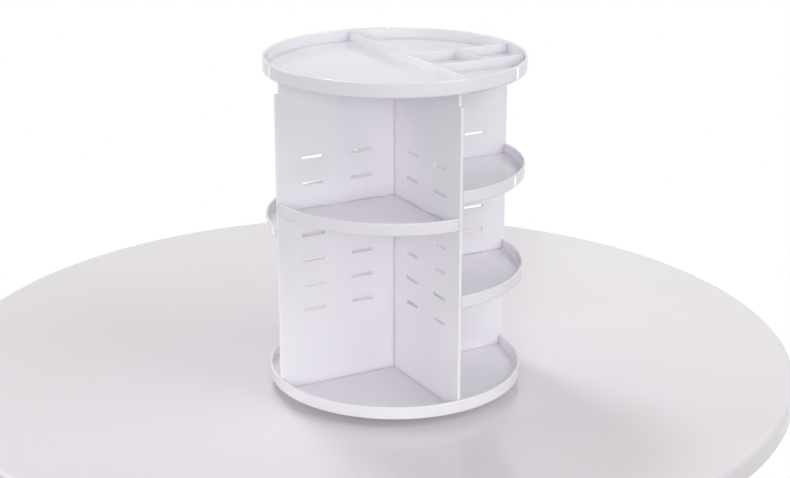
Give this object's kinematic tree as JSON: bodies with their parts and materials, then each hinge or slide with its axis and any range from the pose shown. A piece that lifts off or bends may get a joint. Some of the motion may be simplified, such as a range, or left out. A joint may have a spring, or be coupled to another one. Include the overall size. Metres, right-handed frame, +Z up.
{
  "type": "rotating cosmetics organizer",
  "caption": "Round turntable organizer: crossed slotted boards on a revolving base tray, quarter shelves with lips, and a divided round tray on top.",
  "frame": {"origin": "on the table, on the turntable's axis, at the underside of the rubber pads", "axes": "+Z up along the turntable's axis; +X and +Y along the two crossed boards; the pictured side faces -Y, turned a third of a quarter towards -X"},
  "size_m": [0.236, 0.236, 0.3098],
  "materials": {
    "white_plastic": "glossy white moulded plastic with a faint lavender tint",
    "foot_plastic": "satin white moulded plastic",
    "cage_plastic": "natural nylon",
    "pad_rubber": "pale soft rubber",
    "steel": "bright zinc-plated steel"
  },
  "bodies": {
    "foot": {"foot_disc": "foot_plastic", "foot_pads": "pad_rubber"},
    "bearing": {"ball_cage": "cage_plastic", "bearing_balls": "steel"},
    "carousel": {"base_tray": "white_plastic", "pivot_washer": "steel", "pivot_screw": "steel", "board_side_to_side": "white_plastic", "board_front_to_back": "white_plastic", "shelf_front": "white_plastic", "shelf_right_upper": "white_plastic", "shelf_right_lower": "white_plastic", "shelf_left": "white_plastic", "shelf_back": "white_plastic"},
    "top_tray": {"top_tray": "white_plastic"}
  },
  "joints": [
    {"name": "carousel_turn", "type": "hinge", "parent": "foot", "child": "carousel", "pos_m": [0, 0, 0], "axis": [0, 0, 1], "continuous": true},
    {"name": "bearing_turn", "type": "hinge", "parent": "foot", "child": "bearing", "pos_m": [0, 0, 0], "axis": [0, 0, 1], "continuous": true},
    {"name": "top_tray_lift", "type": "slide", "parent": "carousel", "child": "top_tray", "axis": [0, 0, 1], "range_m": [0, 0.03]}
  ],
  "couplings": [
    {"joint": "bearing_turn", "follows": "carousel_turn", "ratio": 0.5}
  ]
}
